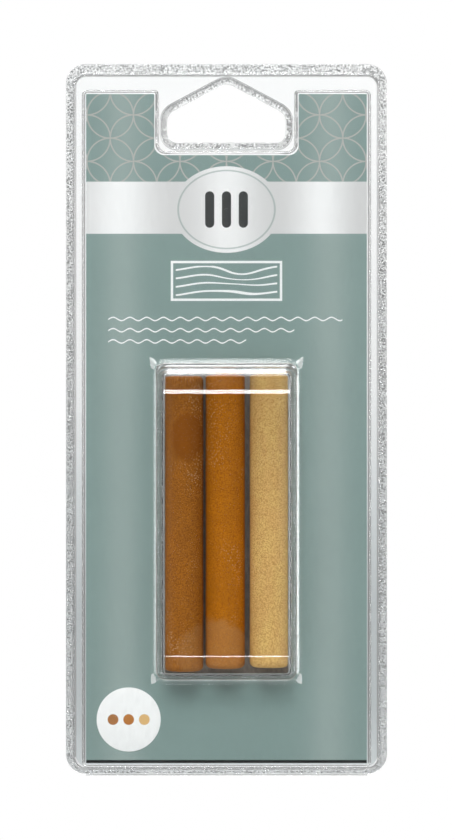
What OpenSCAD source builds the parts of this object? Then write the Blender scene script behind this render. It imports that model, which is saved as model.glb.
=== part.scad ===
// Clear hanging pack of furniture repair wax sticks: a folded clear shell with a
// raised bay, a folded printed card with a window, a round label and three sticks.
// Frame: +Z up, front towards -Y. The origin is the top of the hang hole, on the
// seam between the two halves of the shell, where a display peg carries the pack.

/* [Sticks] */
// Diameter of a wax stick
stick_d = 9.8; // [8:0.1:12]
// Length of a wax stick
stick_len = 73.3; // [60:0.1:90]
// Radius of the worn edge round each end of a stick
stick_edge_r = 1.4; // [0.5:0.1:2.5]
// Gap between the left and the middle stick
left_gap = 0.5; // [0.3:0.05:2]
// Gap between the middle and the right stick
right_gap = 1.15; // [0.3:0.05:2]
// Free height under the left, middle and right stick in the bay
stick_lifts = [0.5, 1.2, 1.45]; // [0.3:0.05:1.5]
// Total end play of a stick in the bay
end_play = 1.8; // [1.8:0.1:3]

/* [Shell] */
// Thickness of the clear sheet
sheet_t = 0.5; // [0.3:0.05:0.6]
// Corner radius of the pack outline
pack_r = 5; // [4:0.5:8]
// Width of the weld flange along the sides
side_flange_w = 1.6; // [1.2:0.1:2.4]
// Width of the weld flange along the top
top_flange_w = 2.2; // [1.2:0.1:3]
// Width of the flange above the fold
foot_flange_w = 0.9; // [0.8:0.1:2.4]
// Height of the raised margin above the seam
margin_h = 1.4; // [1.2:0.1:2]
// Sideways run of the drafted margin wall
margin_run = 0.4; // [0.2:0.05:0.6]
// Flat land on the margin beside the card pocket
side_land = 2.05; // [1:0.05:4]
// Flat land on the margin above the card pocket
top_land = 4; // [3:0.05:8]
// Flat land on the margin below the card pocket
foot_land = 0.35; // [0.3:0.05:2]
// Height of the card pocket above the margin
pocket_step = 1.2; // [0.8:0.1:1.6]
// Sideways run of the drafted pocket wall
pocket_run = 0.25; // [0.1:0.05:0.4]
// Corner radius of the card pocket at its face
pocket_r = 1.2; // [0.8:0.1:2]

/* [Bay] */
// Gap between the outer sticks and the bay walls at the window
bay_gap = 0.2; // [0.1:0.05:1]
// Depth between the sticks and the window
window_gap = 1; // [0.9:0.1:2]
// Gap between the sticks and the card behind them
seat_gap = 0.2; // [0.1:0.05:0.4]
// Sideways run of the drafted bay walls
bay_run = 2.1; // [0.5:0.1:3]
// Inner corner radius of the bay at the window
bay_r = 0.8; // [0.5:0.1:2]
// Length of the sloped facet at each end of the window
facet_run = 4; // [2:0.1:6]
// Drop of the sloped facet at each end of the window
facet_drop = 1.2; // [0.5:0.1:1.4]
// Height of the bay above the bottom edge of the card
bay_lift = 22.9; // [15:0.1:30]
// Reach of the web that draws out of each bay corner
web_reach = 2.2; // [1:0.1:3]
// Height of the corner web
web_h = 4.5; // [2:0.1:6]
// Thickness of the corner web
web_t = 0.9; // [0.6:0.1:1.5]

/* [Hang hole] */
// Width of the hang hole
hole_w = 29.6; // [24:0.1:34]
// Height of the hang hole
hole_h = 14.6; // [10:0.1:18]
// Radius at the top of the hang hole
hole_top_r = 3; // [2:0.1:4]
// Radius at the shoulders of the hang hole
hole_shoulder_r = 3.2; // [2:0.1:4]
// Drop from the top of the hang hole to the centres of its shoulder arcs
hole_shoulder_drop = 9.4; // [8:0.1:10]
// Radius at the lower corners of the hang hole
hole_corner_r = 2.4; // [1:0.1:3]
// Width of the welded rim round the hang hole
hole_rim_w = 1.3; // [0.8:0.1:2]
// Raised land round the welded rim
hole_land = 1.15; // [0.6:0.05:2]

/* [Card] */
// Width of the card
card_w = 70; // [60:1:90]
// Height of the folded card
card_h = 167; // [140:1:190]
// Thickness of the card
card_t = 0.5; // [0.3:0.05:0.6]
// Gap between the card edge and the pocket wall
card_gap = 0.3; // [0.2:0.05:0.6]
// Gap between the card and the sheet in front of it and behind it
card_clear = 0.25; // [0.2:0.05:0.4]
// Corner radius of the notch under the hang hole
notch_r = 2.5; // [1.6:0.1:4]
// Lip of card that shows inside the foot of the bay
window_lip = 0.4; // [0.2:0.1:1]
// Corner radius of the window in the card
window_r = 2; // [1:0.1:4]

/* [Label] */
// Diameter of the round shade label
label_d = 16; // [10:0.5:20]
// Thickness of the label
label_t = 0.1; // [0.05:0.01:0.15]
// Distance of the label from the left edge of the card
label_side_gap = 2.6; // [1:0.1:6]
// Distance of the label from the bottom of the card
label_foot_gap = 3; // [2:0.1:6]

/* [Hidden] */
$fn = 64;
// Extra depth of every cut past the face it opens
overrun = 0.2;
// Straight steps in each round corner of the hang hole
arc_steps = 8;

// Levels above the seam, towards the viewer
pocket_h = margin_h + pocket_step;
card_face = pocket_h - sheet_t - card_clear;
stick_axis_h = seat_gap + stick_d / 2;
bay_h = seat_gap + stick_d + window_gap + sheet_t;
// Depth of the rear tray behind the seam: the back panel ends flush with the seam
tray_h = sheet_t + card_clear + card_t;

// Wall slopes, sideways per unit of height
margin_slope = margin_run / margin_h;
pocket_slope = pocket_run / pocket_step;
bay_slope = bay_run / (bay_h - pocket_h);
facet_slope = facet_drop / facet_run;

// From the card edge out to the foot of the pocket wall
pocket_reach = card_gap + sheet_t + pocket_run;
side_margin = pocket_reach + side_land + margin_run + side_flange_w;
top_margin = pocket_reach + top_land + margin_run + top_flange_w;
foot_margin = pocket_reach + foot_land + margin_run + foot_flange_w;

// Heights along the pack, from the top of the hang hole
pack_top = hole_rim_w + hole_land + margin_run + top_flange_w;
card_top = pack_top - top_margin;
card_foot = card_top - card_h;
pack_foot = card_foot - foot_margin;
pack_w = card_w + 2 * side_margin;
pack_h = pack_top - pack_foot;

// Raised margin, measured at its face
margin_w = pack_w - 2 * (side_flange_w + margin_run);
margin_top = pack_top - top_flange_w - margin_run;
margin_foot = pack_foot + foot_flange_w + margin_run;
margin_r = pack_r - side_flange_w - margin_run;

// Card pocket, measured at its face
pocket_side = card_gap + sheet_t;
pocket_w = card_w + 2 * pocket_side;
pocket_top = card_top + pocket_side;
pocket_foot = card_foot - pocket_side;

// Notch of the card round the hang hole
notch_reach = hole_rim_w + hole_land + pocket_side;
notch_w = hole_w + 2 * notch_reach;
notch_foot = -hole_h - notch_reach;

// Folded edge along the bottom of the card
fold_r = (card_face + card_t) / 2;
fold_mid = card_face - fold_r;

// Bay for the sticks, inside the sheet
bay_w = 3 * stick_d + left_gap + right_gap + 2 * bay_gap;
bay_len = stick_len + end_play;
bay_foot = card_foot + bay_lift;
bay_mid = bay_foot + bay_len / 2;
stick_xs = [
    (left_gap + right_gap) / -2 - stick_d,
    (left_gap - right_gap) / 2,
    (left_gap + right_gap) / 2 + stick_d
];

// Window in the front panel of the card
window_w = bay_w + 2 * (bay_run - window_lip);
window_len = bay_len + 2 * (bay_run - window_lip);

// Outline of the hang hole: centres and radii of its corner arcs, anticlockwise
hole_centres = [
    [0, -hole_top_r],
    [hole_shoulder_r - hole_w / 2, -hole_shoulder_drop],
    [hole_corner_r - hole_w / 2, hole_corner_r - hole_h],
    [hole_w / 2 - hole_corner_r, hole_corner_r - hole_h],
    [hole_w / 2 - hole_shoulder_r, -hole_shoulder_drop]
];
hole_radii = [hole_top_r, hole_shoulder_r, hole_corner_r, hole_corner_r, hole_shoulder_r];

// Direction, in degrees, that the straight side from arc i to the next arc faces
function side_angle(i) =
    let (
        k = (i + 1) % len(hole_radii),
        span = hole_centres[k] - hole_centres[i],
        lean = asin((hole_radii[i] - hole_radii[k]) / norm(span))
    )
    atan2(span.y, span.x) - 90 + lean;

// Stands up a shape drawn flat, with x right, y up the pack and z towards the viewer
module upright() {
    rotate([90, 0, 0]) children();
}

// Rectangle with round corners, centred
module rounded_rect(w, h, r) {
    square([w - 2 * r, h], center = true);
    square([w, h - 2 * r], center = true);
    for (sx = [-1, 1], sy = [-1, 1])
        translate([sx * (w / 2 - r), sy * (h / 2 - r)]) circle(r);
}

// Corner arcs joined by straight sides, grown outwards
module hang_outline(grow) {
    arcs = len(hole_radii);
    polygon([
        for (i = [0:arcs - 1])
            let (
                first = side_angle((i + arcs - 1) % arcs),
                turn = (side_angle(i) - first + 360) % 360
            )
            for (step = [0:arc_steps])
                let (a = first + turn * step / arc_steps)
                hole_centres[i] + (hole_radii[i] + grow) * [cos(a), sin(a)]
    ]);
}

// Half widths at the foot and the head of a drafted wall
module trapezium(foot, head, rise) {
    polygon([[-foot, 0], [foot, 0], [head, rise], [-head, rise]]);
}

// Block with round corners and drafted walls; w, h and r are taken at the head
module drafted_block(w, h, r, low, head, slope) {
    rise = head - low;
    grow = slope * rise;
    for (sx = [-1, 1], sy = [-1, 1])
        translate([sx * (w / 2 - r), sy * (h / 2 - r), low])
            cylinder(h = rise, r1 = r + grow, r2 = r);
    translate([0, h / 2 - r, low])
        rotate([90, 0, 0])
            linear_extrude(h - 2 * r) trapezium(w / 2 + grow, w / 2, rise);
    translate([r - w / 2, 0, low])
        rotate([90, 0, 90])
            linear_extrude(w - 2 * r) trapezium(h / 2 + grow, h / 2, rise);
}

// Raised margin of either half; inset draws it in for the hollow behind the sheet
module margin_block(level, inset) {
    translate([0, (margin_top + margin_foot) / 2, 0])
        drafted_block(
            margin_w - 2 * inset,
            margin_top - margin_foot - 2 * inset,
            margin_r - inset,
            inset > 0 ? -overrun : 0,
            level - inset,
            margin_slope
        );
}

// Card pocket with its notch round the hang hole
module pocket_block(inset) {
    low = margin_h - sheet_t / 2 - inset;
    notch_side = pocket_side - inset;
    difference() {
        translate([0, (pocket_top + pocket_foot) / 2, 0])
            drafted_block(
                pocket_w - 2 * inset,
                pocket_top - pocket_foot - 2 * inset,
                pocket_r - inset,
                low,
                pocket_h - inset,
                pocket_slope
            );
        translate([0, (pack_top + notch_foot + notch_side) / 2, low - overrun])
            linear_extrude(pocket_h)
                rounded_rect(
                    notch_w - 2 * notch_side,
                    pack_top - notch_foot - notch_side,
                    notch_r - notch_side
                );
    }
}

// Side view of the bay: flat window with a sloped facet at each end
module bay_profile(inset) {
    flat_end = bay_len / 2 + sheet_t - facet_run - inset * facet_slope;
    far_end = bay_len / 2 + sheet_t + bay_run * bay_h / (bay_h - pocket_h);
    far_h = bay_h - inset - (far_end - flat_end) * facet_slope;
    polygon([
        [-far_end, 0], [far_end, 0], [far_end, far_h], [flat_end, bay_h - inset],
        [-flat_end, bay_h - inset], [-far_end, far_h]
    ]);
}

// Raised bay that holds the sticks
module bay_block(inset) {
    low = pocket_h - sheet_t / 2 - inset;
    half_w = bay_w / 2 + sheet_t + bay_run * bay_h / (bay_h - pocket_h);
    translate([0, bay_mid, 0])
        intersection() {
            drafted_block(
                bay_w + 2 * (sheet_t - inset),
                bay_len + 2 * (sheet_t - inset),
                bay_r + sheet_t - inset,
                low,
                bay_h - inset,
                bay_slope
            );
            translate([-half_w, 0, 0])
                rotate([90, 0, 90])
                    linear_extrude(2 * half_w) bay_profile(inset);
        }
}

// Web that the sheet draws out of each foot corner of the bay
module corner_webs() {
    foot_r = bay_r + sheet_t + bay_run;
    head_r = foot_r - web_h * bay_slope;
    bite = sheet_t / 2;
    for (sx = [-1, 1], sy = [-1, 1])
        translate([sx * (bay_w / 2 - bay_r), bay_mid + sy * (bay_len / 2 - bay_r), pocket_h - bite])
            rotate([90, 0, atan2(sy, sx)])
                translate([0, 0, -web_t / 2])
                    linear_extrude(web_t)
                        polygon([
                            [foot_r - bite, 0], [foot_r + web_reach, 0],
                            [foot_r + web_reach, bite], [head_r, web_h + bite],
                            [head_r - bite, web_h + bite]
                        ]);
}

// Everything that stands up from the front flange
module front_form(inset) {
    difference() {
        union() {
            margin_block(margin_h, inset);
            pocket_block(inset);
        }
        translate([0, 0, -2 * overrun])
            linear_extrude(bay_h) hang_outline(hole_rim_w + inset);
    }
    bay_block(inset);
}

// Shallow tray behind the rear flange
module rear_form(inset) {
    difference() {
        margin_block(tray_h, inset);
        translate([0, 0, -2 * overrun])
            linear_extrude(bay_h) hang_outline(hole_rim_w + inset);
    }
}

// Flat flange with the outline of the pack
module flange() {
    translate([0, (pack_top + pack_foot) / 2, 0])
        linear_extrude(sheet_t) rounded_rect(pack_w, pack_h, pack_r);
}

// Cut for the hang hole through one half
module hang_cut() {
    translate([0, 0, -overrun])
        linear_extrude(bay_h) hang_outline(0);
}

// Front panel and back panel share this outline, above the fold
module panel_outline() {
    straight_foot = card_foot + fold_r;
    difference() {
        translate([-card_w / 2, straight_foot])
            square([card_w, card_top - straight_foot]);
        translate([0, (pack_top + notch_foot) / 2])
            rounded_rect(notch_w, pack_top - notch_foot, notch_r);
    }
}

// One wax stick, upright in the bay
module wax_stick(i, tint) {
    color(tint)
        upright()
            translate([stick_xs[i], bay_foot + stick_lifts[i], stick_axis_h])
                rotate([-90, 0, 0])
                    rotate_extrude() {
                        square([stick_d / 2 - stick_edge_r, stick_len]);
                        translate([0, stick_edge_r])
                            square([stick_d / 2, stick_len - 2 * stick_edge_r]);
                        for (end = [stick_edge_r, stick_len - stick_edge_r])
                            translate([stick_d / 2 - stick_edge_r, end]) circle(stick_edge_r);
                    }
}

module front_shell() {
    color([0.88, 0.92, 0.93, 0.35])
        upright()
            difference() {
                union() {
                    flange();
                    front_form(0);
                    corner_webs();
                }
                front_form(sheet_t);
                hang_cut();
            }
}

module rear_shell() {
    color([0.86, 0.9, 0.91, 0.35])
        upright()
            mirror([0, 0, 1])
                difference() {
                    union() {
                        flange();
                        rear_form(0);
                    }
                    rear_form(sheet_t);
                    hang_cut();
                }
}

// Bent sheet that joins the two halves along the bottom
module fold_strip() {
    strip_len = pack_w - 2 * pack_r;
    color([0.86, 0.9, 0.91, 0.35])
        upright()
            translate([0, pack_foot, 0])
                intersection() {
                    rotate([0, 90, 0]) cylinder(h = strip_len, r = sheet_t, center = true);
                    translate([-strip_len / 2, -2 * sheet_t, -sheet_t])
                        cube([strip_len, 2 * sheet_t, 2 * sheet_t]);
                }
}

module insert_card() {
    color([0.51, 0.59, 0.58])
        upright() {
            translate([0, 0, card_face - card_t])
                linear_extrude(card_t)
                    difference() {
                        panel_outline();
                        translate([0, bay_mid]) rounded_rect(window_w, window_len, window_r);
                    }
            translate([0, 0, -card_t])
                linear_extrude(card_t) panel_outline();
            translate([0, card_foot + fold_r, fold_mid])
                intersection() {
                    rotate([0, 90, 0])
                        difference() {
                            cylinder(h = card_w, r = fold_r, center = true);
                            cylinder(h = card_w + 2 * overrun, r = fold_r - card_t, center = true);
                        }
                    translate([-card_w / 2, -2 * fold_r, -fold_r])
                        cube([card_w, 2 * fold_r, 2 * fold_r]);
                }
        }
}

module shade_label() {
    reach = label_d / 2;
    color("white")
        upright()
            translate([
                label_side_gap + reach - card_w / 2,
                card_foot + label_foot_gap + reach,
                card_face
            ])
                cylinder(h = label_t, r = reach);
}

module dark_stick() {
    wax_stick(0, [0.42, 0.25, 0.08]);
}

module middle_stick() {
    wax_stick(1, [0.58, 0.35, 0.06]);
}

module pale_stick() {
    wax_stick(2, [0.76, 0.6, 0.36]);
}

front_shell();
rear_shell();
fold_strip();
insert_card();
shade_label();
dark_stick();
middle_stick();
pale_stick();
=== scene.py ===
"""Looks of the hanging pack of furniture repair wax sticks, built round its packed frame."""
import math

import bmesh
import bpy
from bpy.props import FloatProperty
from bpy.props import FloatVectorProperty
from bpy.props import IntProperty
from bpy.props import PointerProperty
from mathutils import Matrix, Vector
from mathutils import noise
from mathutils.geometry import delaunay_2d_cdt


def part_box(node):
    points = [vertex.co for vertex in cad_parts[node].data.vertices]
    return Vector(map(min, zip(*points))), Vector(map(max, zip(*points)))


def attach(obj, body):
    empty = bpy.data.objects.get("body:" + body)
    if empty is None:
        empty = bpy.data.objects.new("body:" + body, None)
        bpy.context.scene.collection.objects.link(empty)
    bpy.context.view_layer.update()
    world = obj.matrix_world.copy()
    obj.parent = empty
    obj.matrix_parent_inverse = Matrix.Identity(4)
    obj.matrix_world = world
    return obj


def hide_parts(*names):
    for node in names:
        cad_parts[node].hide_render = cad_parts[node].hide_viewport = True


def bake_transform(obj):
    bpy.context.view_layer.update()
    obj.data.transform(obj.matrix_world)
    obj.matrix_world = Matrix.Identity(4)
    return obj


bl_info = {
    "name": "Wax stick pack",
    "version": (1, 0, 0),
    "blender": (4, 5, 0),
    "location": "3D View > Sidebar > Wax pack",
    "description": "Builds the clear shell, the printed card and the sticks of a hanging pack",
    "category": "Object",
}

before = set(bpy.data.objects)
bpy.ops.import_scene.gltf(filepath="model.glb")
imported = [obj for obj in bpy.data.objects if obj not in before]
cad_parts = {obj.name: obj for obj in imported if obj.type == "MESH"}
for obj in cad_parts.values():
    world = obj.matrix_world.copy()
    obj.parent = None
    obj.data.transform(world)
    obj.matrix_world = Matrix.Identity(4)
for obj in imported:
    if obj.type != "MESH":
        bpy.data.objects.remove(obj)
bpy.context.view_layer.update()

MM = 0.001
TAU = 2 * math.pi
FRONT_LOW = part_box("front_shell")[0]
REAR_LOW, REAR_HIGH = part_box("rear_shell")
CARD_LOW, CARD_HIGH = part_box("insert_card")
LABEL_LOW, LABEL_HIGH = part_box("shade_label")

# Slots of the finishes: front half, rear half and card.
CLEAR, DRAWN, WELD, WEB = range(4)
REAR_WELD = 1
FRONT_PRINT, BACK_PRINT, BARE, CUT_EDGE = range(4)


def length(name, description, default):
    """A length that a user would change, in metres."""
    return FloatProperty(
        name=name, description=description, default=default, unit="LENGTH", precision=5
    )


def shade(name, description, red, green, blue):
    """A colour that a user would change, given as it looks on a screen, from 0 to 255."""
    return FloatVectorProperty(
        name=name,
        description=description,
        default=tuple(screen_to_linear(v / 255) for v in (red, green, blue)),
        subtype="COLOR",
        size=3,
        min=0,
        max=1,
    )


def screen_to_linear(value):
    """Linear light for one channel of a screen colour."""
    return value / 12.92 if value <= 0.04045 else ((value + 0.055) / 1.055) ** 2.4


class WaxPackShell(bpy.types.PropertyGroup):
    """Sizes of the clear shell."""

    sheet: length("Sheet", "Thickness of the clear sheet", 0.5 * MM)
    pack_r: length("Pack corner", "Corner radius of the pack outline", 5 * MM)
    side_flange: length("Side flange", "Width of the weld flange along the sides", 1.6 * MM)
    top_flange: length("Top flange", "Width of the weld flange along the top", 2.2 * MM)
    foot_flange: length("Foot flange", "Width of the flange above the fold", 0.9 * MM)
    margin_h: length("Margin height", "Height of the raised margin", 1.4 * MM)
    margin_run: length("Margin run", "Sideways run of the margin wall", 0.4 * MM)
    pocket_h: length("Pocket height", "Height of the card pocket", 2.6 * MM)
    pocket_run: length("Pocket run", "Sideways run of the pocket wall", 0.25 * MM)
    pocket_gap: length("Pocket gap", "From the card edge to the outside of the pocket", 0.8 * MM)
    notch_half: length("Notch half width", "Half the width of the pocket notch", 17.25 * MM)
    notch_foot: length("Notch foot", "Lower edge of the pocket notch", -17.05 * MM)
    rim: length("Hole rim", "Width of the welded rim round the hang hole", 1.3 * MM)
    fold: length("Small fillet", "Fillet of the low steps of the sheet", 0.15 * MM)
    seam: length("Seam gap", "Gap from each half to the seam", 0.05 * MM)


class WaxPackBay(bpy.types.PropertyGroup):
    """Sizes of the raised bay that holds the sticks."""

    foot_half: length("Foot half width", "Half the width of the bay at its foot", 18.325 * MM)
    foot_top: length("Foot top", "Upper edge of the bay at its foot", -69.0 * MM)
    foot_low: length("Foot bottom", "Lower edge of the bay at its foot", -149.3 * MM)
    head_half: length("Window half width", "Half the width of the window", 15.95 * MM)
    head_top: length("Window top", "Upper edge of the window", -72.3 * MM)
    head_low: length("Window bottom", "Lower edge of the window", -147.1 * MM)
    crease_top: length("Upper crease", "Height of the crease at the upper facet", -77.7 * MM)
    crease_low: length("Lower crease", "Height of the crease at the lower facet", -143.3 * MM)
    facet_drop: length("Facet drop", "Drop of the facet at each end", 0.9 * MM)
    crease_soft: length("Crease softness", "Half the width of the round crease", 1.7 * MM)
    foot_fillet: length("Foot fillet", "Fillet at the foot of the walls", 0.55 * MM)
    head_fillet: length("Window fillet", "Fillet round the window", 0.45 * MM)
    web_reach: length("Web reach", "Reach of the web at each corner", 2.1 * MM)


class WaxPackWeld(bpy.types.PropertyGroup):
    """Teeth that the welding tool leaves on the flange and the rim of the hole."""

    pitch: length("Tooth pitch", "Least distance between teeth", 0.5 * MM)
    tooth_h: length("Tooth height", "Height of a tooth", 0.13 * MM)
    seed: IntProperty(name="Seed", description="Seed of the uneven teeth", default=7)


class WaxPackCard(bpy.types.PropertyGroup):
    """Sizes and inks of the printed card."""

    thick: length("Card", "Thickness of the card", 0.5 * MM)
    notch_half: length("Notch half width", "Half the width of the notch", 18.05 * MM)
    notch_foot: length("Notch foot", "Lower edge of the notch", -17.85 * MM)
    notch_r: length("Notch corner", "Corner radius of the notch", 2.5 * MM)
    window_half: length("Window half width", "Half the width of the window", 17.425 * MM)
    window_top: length("Window top", "Upper edge of the window", -69.9 * MM)
    window_low: length("Window bottom", "Lower edge of the window", -148.4 * MM)
    window_r: length("Window corner", "Corner radius of the window", 2 * MM)
    ground: shade("Ground", "Main ink of the card", 125, 147, 143)
    # Painted sheen: lighter bands of the ground ink stand in for the lamps reflected in the card.
    sheen: shade("Sheen", "Lighter bands of the main ink", 146, 163, 159)
    # Painted reflection: a shaded and a lit copy of the silver; on the band, the lit one stands in
    # for mirrored lamps.
    silver: shade("Silver", "Shaded part of the silver band", 206, 205, 205)
    silver_lit: shade("Silver sheen", "Bright part of the silver band", 250, 249, 249)
    rule: shade("Line", "Ink of the line pattern", 190, 182, 179)
    # Painted shade: a dark line along the fold stands in for the shade where the card turns under.
    foot: shade("Foot line", "Dark line along the fold", 30, 32, 32)
    motif: shade("Motif", "White of the drawn motifs", 244, 245, 245)
    badge: shade("Badge", "Dark motif on the silver plaque", 34, 36, 36)
    board: shade("Board", "Uncoated inner side of the card", 140, 130, 120)


class WaxPackSticks(bpy.types.PropertyGroup):
    """Colours, worn ends and dents of the sticks."""

    dark: shade("Dark wax", "Main colour of the dark stick", 154, 94, 22)
    middle: shade("Golden wax", "Main colour of the middle stick", 176, 105, 4)
    pale: shade("Pale wax", "Main colour of the pale stick", 219, 176, 109)
    wear: length("Worn edge", "Radius of the worn edge at each end", 1.4 * MM)
    dent: length("Dent depth", "Depth of the shallow dents along a stick", 0.09 * MM)


class WaxPackStage(bpy.types.PropertyGroup):
    """Camera and floor."""

    distance: length("Distance", "From the camera to the seam of the pack", 0.85)
    centre_x: length("Centre across", "What the camera looks at, across", 0.25 * MM)
    centre_z: length("Centre up", "What the camera looks at, up", -83.9 * MM)
    view_h: length("View height", "Height of the picture at the seam", 210 * MM)
    floor_z: length("Floor", "Height of the floor", -0.36)


def rect(left, right, low, top):
    """Corners of a rectangle, anticlockwise from the lower left."""
    return [Vector((left, low)), Vector((right, low)), Vector((right, top)), Vector((left, top))]


def rounded(corners, radii, grow=0.0, steps=14, least=0.08 * MM):
    """Points round a right-angled outline with round corners, grown outwards."""
    points = []
    for i, corner in enumerate(corners):
        before = (corner - corners[i - 1]).normalized()
        after = (corners[(i + 1) % len(corners)] - corner).normalized()
        out = Vector((before.y, -before.x))
        out_after = Vector((after.y, -after.x))
        turn = 1 if before.x * after.y - before.y * after.x > 0 else -1
        r = max(radii[i] + turn * grow, least)
        tip = corner + (out + out_after) * grow
        centre = tip - before * r - out * (r * turn)
        for step in range(steps + 1):
            a = step / steps * math.pi / 2
            points.append(centre + out * (turn * r * math.cos(a)) + before * (r * math.sin(a)))
    return points


HOLE_ARCS = (
    ((0.0, -3.0), 3.0),
    ((-11.6, -9.4), 3.2),
    ((-12.4, -12.2), 2.4),
    ((12.4, -12.2), 2.4),
    ((11.6, -9.4), 3.2),
)


def hang_hole(grow=0.0, steps=12):
    """Points round the hang hole, anticlockwise, grown outwards."""
    centres = [Vector(centre) * MM for centre, _ in HOLE_ARCS]
    radii = [r * MM for _, r in HOLE_ARCS]
    count = len(centres)

    def facing(i):
        k = (i + 1) % count
        span = centres[k] - centres[i]
        lean = math.asin((radii[i] - radii[k]) / span.length)
        return math.atan2(span.y, span.x) - math.pi / 2 + lean

    points = []
    for i in range(count):
        first = facing((i + count - 1) % count)
        turn = (facing(i) - first) % TAU
        for step in range(steps + 1):
            a = first + turn * step / steps
            points.append(centres[i] + Vector((math.cos(a), math.sin(a))) * (radii[i] + grow))
    return points


def bezier(first, corner, last, steps):
    """Points of a round corner between two straight runs, ends included."""
    points = []
    for step in range(steps + 1):
        t = step / steps
        a = [p + (q - p) * t for p, q in zip(first, corner)]
        b = [p + (q - p) * t for p, q in zip(corner, last)]
        points.append([p + (q - p) * t for p, q in zip(a, b)])
    return points


def wall_profile(run, rise, foot, head, steps=5):
    """Grow and rise pairs from the foot of a drafted wall to past its head."""
    slant = math.hypot(run, rise)
    foot_share = foot / slant
    head_share = 1 - head / slant
    low = bezier((run + foot, 0), (run, 0), (run * (1 - foot_share), rise * foot_share), steps)
    top = bezier((run * (1 - head_share), rise * head_share), (0, rise), (-head, rise), steps)
    return low + top


def within(point, ring):
    """Whether a point across and up lies inside a ring of mesh points."""
    inside = False
    for i, vert in enumerate(ring):
        a = ring[i - 1].co
        b = vert.co
        if (a.z > point.y) != (b.z > point.y):
            if point.x < a.x + (b.x - a.x) * (point.y - a.z) / (b.z - a.z):
                inside = not inside
    return inside


def mesh_of(bm, name):
    """The mesh of a finished bmesh, which is freed."""
    mesh = bpy.data.meshes.new(name)
    bm.to_mesh(mesh)
    bm.free()
    return mesh


def link_object(name, data):
    """A new object in the scene."""
    item = bpy.data.objects.new(name, data)
    bpy.context.scene.collection.objects.link(item)
    return item


class Sheet:
    """Mesh of a piece while it is built; points are across, up and level towards the viewer."""

    def __init__(self):
        self.bm = bmesh.new()
        self.normals = {}
        self.facing = Vector((0, -1, 0))

    def level_off(self, *rings):
        """Keeps the shading of these points flat."""
        for ring in rings:
            for vert in ring:
                self.normals[vert] = self.facing

    def mirror(self):
        """Turns the piece to face backwards."""
        flip = Vector((1, -1, 1))
        for vert in self.bm.verts:
            vert.co = vert.co * flip
        self.normals = {vert: normal * flip for vert, normal in self.normals.items()}

    def ring(self, outline, level):
        """A closed ring of points; level is one height or one for each point."""
        levels = level if isinstance(level, list) else [level] * len(outline)
        return [self.bm.verts.new((p.x, -h, p.y)) for p, h in zip(outline, levels)]

    def face(self, verts, slot=0):
        """A face, left out where two of its points are one."""
        kept = [v for i, v in enumerate(verts) if v is not verts[i - 1]]
        if len(set(kept)) > 2:
            made = self.bm.faces.new(kept)
            made.material_index = slot
            made.smooth = True

    def join(self, first, second, slot=0):
        """Quads between two rings of equal count."""
        for i in range(len(first)):
            self.face((first[i - 1], first[i], second[i], second[i - 1]), slot)

    def loft(self, rings, slot=0):
        """Quads along a row of rings."""
        for first, second in zip(rings, rings[1:]):
            self.join(first, second, slot)

    def close(self, outside, inside, slot=0):
        """Quads across the cut edges, between the two sides of a sheet."""
        for first, second in zip(outside, inside):
            self.join(first, second, slot)

    def fill(self, outer, *holes, slot=0):
        """Triangles between a ring and the rings inside it, all on one level."""
        rings = (outer, *holes)
        verts = [vert for ring in rings for vert in ring]
        edges = []
        start = 0
        for ring in rings:
            count = len(ring)
            edges += [(start + i, start + (i + 1) % count) for i in range(count)]
            start += count
        points, _, triangles, origins, _, _ = delaunay_2d_cdt(
            [Vector((vert.co.x, vert.co.z)) for vert in verts], edges, [], 1, 1e-9
        )
        for triangle in triangles:
            middle = sum((points[k] for k in triangle), Vector((0, 0))) / 3
            if within(middle, outer) and not any(within(middle, hole) for hole in holes):
                self.face([verts[origins[k][0]] for k in triangle], slot)

    def finish(self, name, materials, body, slot, nodes):
        """Puts the piece in the scene, riding on its body and standing for its nodes."""
        bmesh.ops.recalc_face_normals(self.bm, faces=self.bm.faces)
        self.bm.normal_update()
        shading = []
        for vert in self.bm.verts:
            total = Vector((0, 0, 0))
            for face in vert.link_faces:
                total += face.normal * face.calc_area()
            shading.append(self.normals.get(vert, total.normalized()))
        mesh = mesh_of(self.bm, name)
        if self.normals:
            mesh.normals_split_custom_set_from_vertices(shading)
        place(name, mesh, materials, body, nodes)


def place(name, mesh, materials, body, nodes=()):
    """Puts a mesh in the scene as a piece of one body."""
    piece = link_object(name, mesh)
    if not mesh.materials:
        for material in materials:
            mesh.materials.append(material)
    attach(piece, body)
    if nodes:
        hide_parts(*nodes)


def pack_outline():
    """Corners of the pack."""
    return rect(REAR_LOW.x, REAR_HIGH.x, REAR_LOW.z, REAR_HIGH.z)


def margin_outline(shell):
    """Corners of the raised margin at its head."""
    side = shell.side_flange + shell.margin_run
    return rect(
        REAR_LOW.x + side,
        REAR_HIGH.x - side,
        REAR_LOW.z + shell.foot_flange + shell.margin_run,
        REAR_HIGH.z - shell.top_flange - shell.margin_run,
    )


def margin_radius(shell):
    """Corner radius of the raised margin at its head."""
    return shell.pack_r - shell.side_flange - shell.margin_run


def pocket_outline(shell):
    """Corners of the card pocket at its head, with the notch round the hang hole."""
    left = CARD_LOW.x - shell.pocket_gap
    right = CARD_HIGH.x + shell.pocket_gap
    low = CARD_LOW.z - shell.pocket_gap
    top = CARD_HIGH.z + shell.pocket_gap
    half = shell.notch_half
    foot = shell.notch_foot
    panel = [(left, low), (right, low), (right, top)]
    notch = [(half, top), (half, foot), (-half, foot), (-half, top)]
    return [Vector(corner) for corner in (*panel, *notch, (left, top))]


POCKET_RADII = [r * MM for r in (1.2, 1.2, 1.2, 0.8, 2.1, 2.1, 0.8, 1.2)]


def step_rings(sheet, outline, low, profile, inset):
    """Rings of one drafted step of the sheet."""
    rings = [sheet.ring(outline(grow - inset), low - inset + rise) for grow, rise in profile]
    sheet.level_off(rings[0], rings[-1])
    return rings


EDGE_SOFT = 0.1 * MM


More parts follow.
